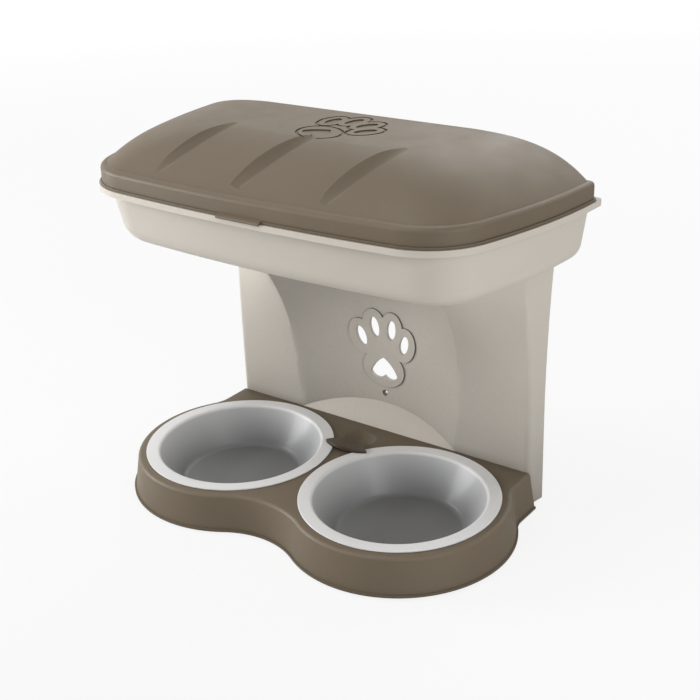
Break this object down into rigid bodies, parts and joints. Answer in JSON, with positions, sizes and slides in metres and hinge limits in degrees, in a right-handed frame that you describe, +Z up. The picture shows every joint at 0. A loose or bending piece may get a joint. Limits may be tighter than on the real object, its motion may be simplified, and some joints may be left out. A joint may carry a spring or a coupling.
{
  "type": "raised double bowl stand",
  "caption": "Pet feeding stand: lobed base tray with lift-out bowls and a turn latch, a swept column and a food bin with a hinged domed lid on top.",
  "frame": {"origin": "on the floor, in the middle of the stand's footprint", "axes": "+X to the right across both bowls, +Y to the back, +Z up"},
  "size_m": [0.5966, 0.297, 0.4654],
  "materials": {
    "brown_plastic": "satin moulded taupe brown, fine texture",
    "dark_brown_plastic": "satin moulded brown, a little darker",
    "pale_plastic": "satin moulded warm light grey",
    "bowl_plastic": "semi-gloss light grey",
    "steel": "zinc-plated",
    "rubber": "matt black"
  },
  "bodies": {
    "stand": {"bowl_tray": "brown_plastic", "column": "pale_plastic", "storage_bin": "pale_plastic", "hinge_pin_left": "steel", "hinge_pin_right": "steel", "bin_screws": "steel", "bin_washers": "steel", "tray_screws": "steel", "tray_feet": "rubber", "column_feet": "rubber"},
    "lid": {"lid": "brown_plastic"},
    "bowl_left": {"bowl_left": "bowl_plastic"},
    "bowl_right": {"bowl_right": "bowl_plastic"},
    "latch": {"bowl_latch": "dark_brown_plastic", "latch_screw": "steel", "latch_washer": "steel"}
  },
  "joints": [
    {"name": "lid_hinge", "type": "hinge", "parent": "stand", "child": "lid", "pos_m": [0, 0.1365, 0.4068], "axis": [-1, 0, 0], "range_deg": [0, 100]},
    {"name": "bowl_left_lift", "type": "slide", "parent": "stand", "child": "bowl_left", "axis": [0, 0, 1], "range_m": [0, 0.12]},
    {"name": "bowl_right_lift", "type": "slide", "parent": "stand", "child": "bowl_right", "axis": [0, 0, 1], "range_m": [0, 0.12]},
    {"name": "latch_turn", "type": "hinge", "parent": "stand", "child": "latch", "pos_m": [0, 0.054, 0.05], "axis": [0, 0, 1], "range_deg": [0, 90]}
  ]
}
